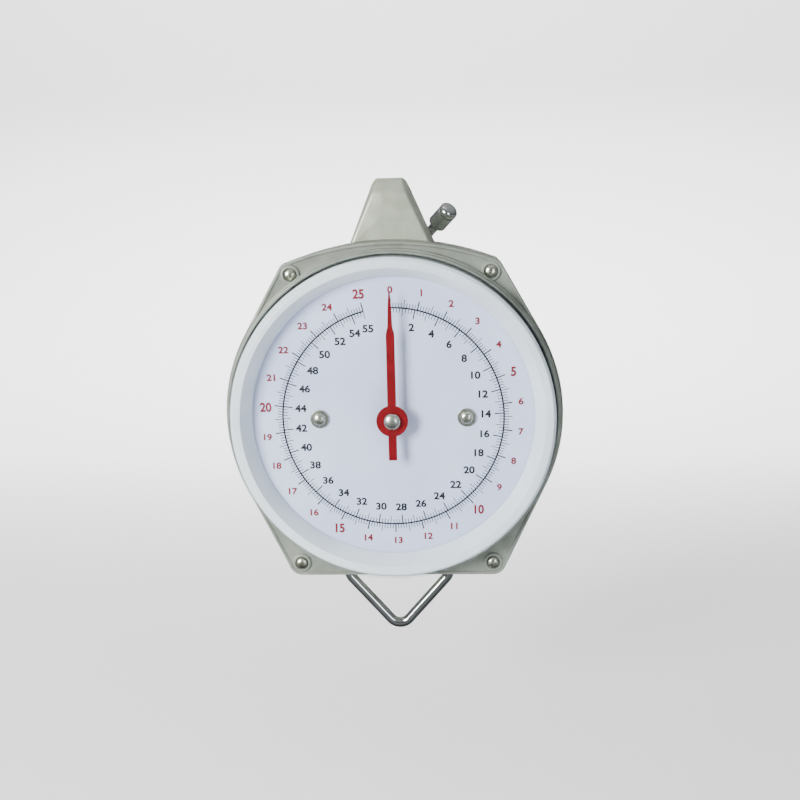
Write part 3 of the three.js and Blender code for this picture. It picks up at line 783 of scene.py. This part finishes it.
def dial_numbers():
    red = []
    aside = radians(1.2)  # these sit a little short of their graduations
    for kilos in range(26):
        big = kilos % 5 == 0 and kilos > 0
        bearing = kilos * KG - (aside if 12 <= kilos <= 24 else 0)
        red.append((str(kilos), bearing, 89.8, 6.8 if big else 4.9, 0.92 if big else 1.12))
    numerals("kilogram_numbers", red, M["red_ink"])
    pounds = list(range(2, 55, 2)) + [55]
    crowded = radians(2.2)  # 54 stands a little aside to leave room for 55
    black = [(str(p), p * LB - (crowded if p == 54 else 0), 65.1, 5.4, 1.12) for p in pounds]
    numerals("pound_numbers", black, M["black_ink"])


# ---------------------------------------------------------------- screws and washers


def pan_screw(name, x, z, radius, seat, height, shank, end, turn, replaced):
    """Domed head with a cross recess, on a plain shank."""
    dome = [(radius * sin(a), seat - 0.5 - (height - 0.5) * cos(a)) for a in np.linspace(0, pi / 2, 12)]
    dome[0] = (0.0, seat - height)
    profile = dome + [(radius, seat - 0.15), (radius - 0.15, seat)]
    profile += [(shank, seat), (shank, end), (0.0, end)]
    piece = turned(name, profile, M["zinc"], "case", x, z, 64)
    arms = []
    for quarter in (0, pi / 2):
        arm = [(a * 2.3, b * 0.5) for a in (-1, 1) for b in (-1, 1)]
        corners = []
        for a, b in arm:
            direction = turn + quarter
            px, pz = a * cos(direction) - b * sin(direction), a * sin(direction) + b * cos(direction)
            corners.append((x + px, seat - height - 1, z + pz))
            corners.append((x + px * 0.55, seat - height + 1.9, z + pz * 0.55))
        arms.append(hull("tool", corners, 0, M["zinc"]))
    combine(piece, arms, "DIFFERENCE")
    smooth(piece, 28)
    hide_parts(replaced)


HEAD_R = 4.3
CASE_SCREW = {"seat": FLANGE_Y - 0.3, "height": 2.8, "shank": 1.9, "end": 34}
DIAL_SCREW = {"seat": -1.6, "height": 2.6, "shank": 1.8, "end": 9}
WASHER = [(2.2, -1.3), (6.5, -1.3), (6.5, -0.3), (2.2, -0.3)]


def fasteners():
    for k, (corner, (x, z)) in enumerate(SCREWS.items()):
        turn = 0.35 + 0.6 * k
        name = f"case_pan_screw_{corner}"
        pan_screw(name, x, z, HEAD_R, **CASE_SCREW, turn=turn, replaced=f"case_screw_{corner}")
    for k, side in enumerate(("left", "right")):
        x = DIAL_SCREW_X * (-1 if side == "left" else 1)
        turn = 0.5 + 0.5 * k
        name = f"dial_pan_screw_{side}"
        pan_screw(name, x, 0, HEAD_R, **DIAL_SCREW, turn=turn, replaced=f"dial_screw_{side}")
        washer = turned(f"washer_{side}", WASHER, M["zinc"], "case", x, 0, 64, 0.25)
        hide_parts(f"dial_washer_{side}")


# ---------------------------------------------------------------- pointer


def pointer():
    front, back = -10.6, -9.8
    hub, neck, tail, end = 11.0, 3.0, 2.9, -28.0
    right = arc(0, 0, hub, -pi / 2 + asin(tail / hub), pi / 2 - asin(neck / hub), 40)
    right += [(2.9, 60.0), (2.75, 61.3), (1.75, 65.0), (1.6, 66.5), (1.15, 80.0), (0.45, 89.0)]
    outline = right + [(-x, z) for x, z in reversed(right)] + [(-tail, end), (tail, end)]
    made = bmesh.new()
    ring = [made.verts.new((x, front, z)) for x, z in outline]
    face = made.faces.new(ring)
    grown = bmesh.ops.extrude_face_region(made, geom=[face])
    moved = [v for v in grown["geom"] if isinstance(v, bmesh.types.BMVert)]
    bmesh.ops.translate(made, verts=moved, vec=(0, back - front, 0))
    rim = [e for e in made.edges if abs(e.verts[0].co.y - e.verts[1].co.y) < 1e-6]
    bmesh.ops.bevel(made, geom=rim, offset=0.16, segments=2, affect="EDGES")
    bmesh.ops.triangulate(made, faces=[f for f in made.faces if len(f.verts) > 4])
    made.verts.index_update()
    points = [tuple(v.co) for v in made.verts]
    faces = [tuple(v.index for v in f.verts) for f in made.faces]
    made.free()
    piece = make("pointer_blade", points, faces, M["red"], "pointer_shaft")
    hole = turned("tool", [(0, -12), (2.3, -12), (2.3, -8), (0, -8)], M["red"], None, 0, 0, 48)
    combine(piece, [hole], "DIFFERENCE")
    smooth(piece)
    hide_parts("pointer")


def pointer_hub():
    dome = [(5.8 * sin(a), -11.9 - 3.0 * cos(a)) for a in np.linspace(0, pi / 2, 14)]
    dome[0] = (0.0, -14.9)
    profile = dome + [(5.8, -11.1), (5.6, -10.9), (2.3, -10.9), (2.3, -12.9), (0.0, -12.9)]
    cap = turned("pointer_dome_nut", profile, M["zinc"], "pointer_shaft", steps=96)
    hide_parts("pointer_cap")
    profile = [(2.3, -9.5), (7.5, -9.5), (7.5, -8.3), (4.6, -8.3), (4.6, -3), (2.3, -3)]
    boss = turned("pointer_boss", profile, M["brass"], "pointer_shaft", steps=96, round_by=0.2)
    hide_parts("pointer_collet")


# ---------------------------------------------------------------- hooks


def v_hook():
    slope, leg, rod = radians(49), LEG_X, 3.75
    apex_r, bend_r, top_r = 9.0, 10.0, 6.0
    pivot_z = span("v_hook", Z)[1] - rod
    apex_z = span("v_hook", Z)[0] + rod + apex_r
    bend_x = leg - bend_r
    bend_z = apex_z + (bend_x * sin(slope) + (bend_r - apex_r)) / cos(slope)
    half = arc(0, apex_z, apex_r, -pi / 2, slope - pi / 2, 14)
    bend = arc(bend_x, bend_z, bend_r, slope - pi / 2, 0, 12)
    half += straight(half[-1], bend[0], 12) + bend
    top = arc(leg - top_r, pivot_z - top_r, top_r, 0, pi / 2, 14)
    half += straight(bend[-1], top[0], 14) + top + [(28.6, pivot_z), (26.2, pivot_z)]
    route = [(-x, LOAD_Y, z) for x, z in reversed(half[1:])] + [(x, LOAD_Y, z) for x, z in half]
    piece = swept("load_hook_rod", route, rod, M["chrome"], "load_hook")
    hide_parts("v_hook")


FOLD = radians(49)
DOWN = np.array([0, cos(FOLD), -sin(FOLD)])  # along the folded hook, away from its pin
FACE = np.array([0, sin(FOLD), cos(FOLD)])
BOWL_R, BOWL_S, BEND_R, TIP_SLOPE, NECK = 20.0, 40.0, 8.0, radians(55), 26.5
TOP_ROD_R, HOOK_STUB = 3.5, 6.5
EYE_R, EYE_WIDTH = 6.6, 12.0


def hook_point(x, s):
    """A point in the folded hook's plane: x to the side, s from the pin along the hook."""
    return PIN + np.array([x, 0, 0]) + DOWN * s


def top_hook():
    shank_end = sqrt((BOWL_R + BEND_R) ** 2 - BEND_R**2) - BOWL_S
    meet = atan2(BOWL_S + shank_end, BEND_R)
    bend = arc(-BEND_R, shank_end, BEND_R, 0, -meet, 16)
    bowl = arc(0, -BOWL_S, BOWL_R, pi - meet, 1.5 * pi + TIP_SLOPE, 60)
    last = bowl[-1]
    ahead = (cos(TIP_SLOPE), sin(TIP_SLOPE))
    tip = (last[0] + NECK * ahead[0], last[1] + NECK * ahead[1])
    stub = (tip[0] + HOOK_STUB * ahead[0], tip[1] + HOOK_STUB * ahead[1])
    flat = [(0.0, 0.0)] + straight((0, 0), bend[0], 8) + bend + bowl[1:]
    flat += straight(bowl[-1], stub, 12) + [stub]
    route = [hook_point(x, -z) for x, z in flat]
    rod = swept("top_hook_rod", route, TOP_ROD_R, M["chrome"], None, across=FACE)
    half = EYE_WIDTH / 2
    rim = [(0, -half), (EYE_R, -half), (EYE_R, half), (0, half)]
    eye = turned("tool", rim, M["chrome"], None, 0, 0, 64, 0.9)
    hole = [(0, -30), (PIN_HOLE_R, -30), (PIN_HOLE_R, 30), (0, 30)]
    bore = turned("tool", hole, M["chrome"], None, 0, 0, 48)
    onto_pin(eye)
    onto_pin(bore)
    combine(rod, [eye], "UNION")
    combine(rod, [bore], "DIFFERENCE")
    smooth(rod)
    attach(rod, "suspension_hook")
    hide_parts("top_hook")
    barrel(tip, ahead)


def barrel(tip, ahead):
    """The hook's tip: a turned barrel with a fine diamond knurl between plain ends."""
    plain, knurled = 6.7, 6.4
    socket = [(0.0, 7.0), (3.85, 7.0), (3.85, 0.0)]
    profile = socket + [(5.4, 0.0), (6.2, 0.35), (plain, 1.1), (plain, 2.0)]
    knurl = [(knurled, s) for s in np.linspace(2.5, 12.6, 40)]
    end = [(5.9, 13.0), (5.9, 13.9), (plain, 14.4), (plain, 15.4)]
    end += [(6.4, 16.4), (5.6, 17.6), (4.2, 18.5), (2.2, 19.0), (0.0, 19.0)]
    steps = 120
    angles = np.linspace(0, 2 * pi, steps, endpoint=False)
    out = np.array([ahead[0], 0, 0]) - DOWN * ahead[1]
    side = np.cross(out, FACE)
    base = hook_point(tip[0], -tip[1])
    rings = []
    for r, s in profile + knurl + end:
        radius = np.full(steps, r)
        if r == knurled:
            wave = np.abs(np.sin(12 * angles + s * 1.5)) * np.abs(np.sin(12 * angles - s * 1.5))
            radius = knurled + 0.3 * wave
        around = np.cos(angles)[:, None] * side + np.sin(angles)[:, None] * FACE
        rings.append(base + out * s + radius[:, None] * around)
    points, faces = stitched(rings, closed=False)
    piece = make("top_hook_barrel", points, faces, M["chrome"], "suspension_hook", 40)
    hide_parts("top_hook_tip")


# ---------------------------------------------------------------- pieces that keep their CAD form

# A node takes the finish of the first stem that its name starts with. So the chassis screws are steel like
# the chassis, and rack comes after rack_guide and rack_screw.
KEPT = {
    "steel": [
        "chassis",
        "rack_guide",
        "spring_shelf",
        "bridge_pillar",
        "dial_standoff",
        "spring_anchor",
        "load_yoke",
        "spindle",
        "hook_pin",
    ],
    "zinc": ["anchor_nut", "rack_screw"],
    "brass": ["movement_bridge", "front_bush", "rear_bush", "pinion", "rack"],
    "spring": ["main_spring"],
}


def finish_for(node):
    for finish, stems in KEPT.items():
        if node.startswith(tuple(stems)):
            return finish
    return None


def kept_nodes():
    for node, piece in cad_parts.items():
        finish = finish_for(node)
        if finish:
            piece.data.materials.clear()
            piece.data.materials.append(M[finish])
            smooth(piece)


# ---------------------------------------------------------------- stage, lights and camera


FLOOR_DROP = 0.11  # from the object's lowest point to the floor
FLOOR_FRONT, FLOOR_BACK, CURVE_R, WALL_TOP, STAGE_HALF_WIDTH = -0.5, 0.9, 0.6, 3.2, 1.6


def stage():
    """A pale floor that curves up into a wall behind the object."""
    floor_z = CAD_BOX[0][2] - FLOOR_DROP
    turns = np.linspace(0, pi / 2, 24)
    rows = [(FLOOR_FRONT, 0.0), (FLOOR_BACK, 0.0)]
    rows += [(FLOOR_BACK + CURVE_R * sin(a), CURVE_R - CURVE_R * cos(a)) for a in turns[1:]]
    rows.append((FLOOR_BACK + CURVE_R, WALL_TOP))
    points = [(x, y, floor_z + z) for y, z in rows for x in (-STAGE_HALF_WIDTH, STAGE_HALF_WIDTH)]
    faces = [(2 * k, 2 * k + 1, 2 * k + 3, 2 * k + 2) for k in range(len(rows) - 1)]
    mesh = bpy.data.meshes.new("backdrop")
    mesh.from_pydata(points, [], faces)
    s = Shader("backdrop")
    s.set(Base_Color=(0.9, 0.9, 0.9, 1), Roughness=0.85)
    mesh.materials.append(s.material)
    for polygon in mesh.polygons:
        polygon.use_smooth = True
    backdrop = bpy.data.objects.new("backdrop", mesh)
    backdrop.visible_glossy = False  # the chrome then mirrors the dark studio below, not a pale floor
    bpy.context.scene.collection.objects.link(backdrop)


def area(name, place, size, power, colour=(1, 1, 1), aim=(0, 0, -0.15), spread=pi):
    """A rectangular lamp: where it is, its sides in metres and its power in watts."""
    light = bpy.data.lights.new(name, "AREA")
    light.spread = spread
    light.shape = "RECTANGLE"
    light.size, light.size_y = size
    light.energy = power
    light.color = colour
    lamp = bpy.data.objects.new(name, light)
    bpy.context.scene.collection.objects.link(lamp)
    lamp.location = place
    lamp.rotation_mode = "QUATERNION"
    lamp.rotation_quaternion = (Vector(aim) - Vector(place)).to_track_quat("-Z", "Y")


def lights():
    world = bpy.data.worlds.new("studio")
    bpy.context.scene.world = world
    world.use_nodes = True
    tree = world.node_tree
    where = tree.nodes.new("ShaderNodeTexCoord")
    apart = tree.nodes.new("ShaderNodeSeparateXYZ")
    ramp = tree.nodes.new("ShaderNodeValToRGB")
    heights = [(0.0, 0.08), (0.4, 0.08), (0.5, 0.15), (0.72, 0.5), (1.0, 0.6)]
    half = tree.nodes.new("ShaderNodeMapRange")
    half.inputs["From Min"].default_value = -1.0
    for place, level in heights:
        stops = ramp.color_ramp.elements
        stop = stops[int(place)] if place in (0.0, 1.0) else stops.new(place)
        stop.color = (0.95 * level, 0.98 * level, level, 1)
    tree.links.new(where.outputs["Generated"], apart.inputs["Vector"])
    tree.links.new(apart.outputs["Z"], half.inputs["Value"])
    tree.links.new(half.outputs["Result"], ramp.inputs["Fac"])
    tree.links.new(ramp.outputs["Color"], tree.nodes["Background"].inputs["Color"])
    tree.nodes["Background"].inputs["Strength"].default_value = 0.7
    area("key", (-0.95, -1.15, 0.3), (0.5, 0.7), 52, (1.0, 0.995, 0.98))
    area("fill", (0.9, -1.6, 0.0), (0.5, 0.9), 9, (0.86, 0.91, 1.0))
    area("rim", (-0.1, -0.4, 1.3), (1.2, 0.12), 1.2)
    area("backdrop_light", (0.0, 1.2, 2.3), (3.0, 1.0), 150, aim=(0, 2.2, 0.0), spread=radians(80))


CAMERA_BEARING, CAMERA_HEIGHT, CAMERA_ROLL = radians(3.5), radians(12.7), radians(1.45)
CAMERA_DISTANCE = 0.780
FRAME_SIZE = 800
FOCAL = 1115.0  # in widths of a picture point
AIM_OFFSET = (-7.0, -18.0)  # where the dial's centre falls, from the frame's middle


def camera():
    data = bpy.data.cameras.new("camera")
    cam = bpy.data.objects.new("camera", data)
    bpy.context.scene.collection.objects.link(cam)
    bpy.context.scene.camera = cam
    a, e, r = CAMERA_BEARING, CAMERA_HEIGHT, CAMERA_ROLL
    back = Vector((sin(a) * cos(e), -cos(a) * cos(e), sin(e)))
    right = Vector((cos(a), sin(a), 0))
    up = back.cross(right)
    x_axis = right * cos(r) - up * sin(r)
    y_axis = right * sin(r) + up * cos(r)
    centre = Vector(ORIGIN * MM)
    place = centre + back * CAMERA_DISTANCE
    cam.matrix_world = Matrix((
        (x_axis.x, y_axis.x, back.x, place.x),
        (x_axis.y, y_axis.y, back.y, place.y),
        (x_axis.z, y_axis.z, back.z, place.z),
        (0, 0, 0, 1),
    ))
    data.sensor_width = 36.0
    data.lens = 36.0 * FOCAL / FRAME_SIZE
    data.shift_x = -AIM_OFFSET[0] / FRAME_SIZE
    data.shift_y = -AIM_OFFSET[1] / FRAME_SIZE
    data.clip_start, data.clip_end = 0.05, 50


camera()
lights()
stage()
front_case()
rear_case()
cover()
surround()
gasket()
dial_disc()
graduations()
dial_numbers()
fasteners()
pointer()
pointer_hub()
v_hook()
top_hook()
kept_nodes()
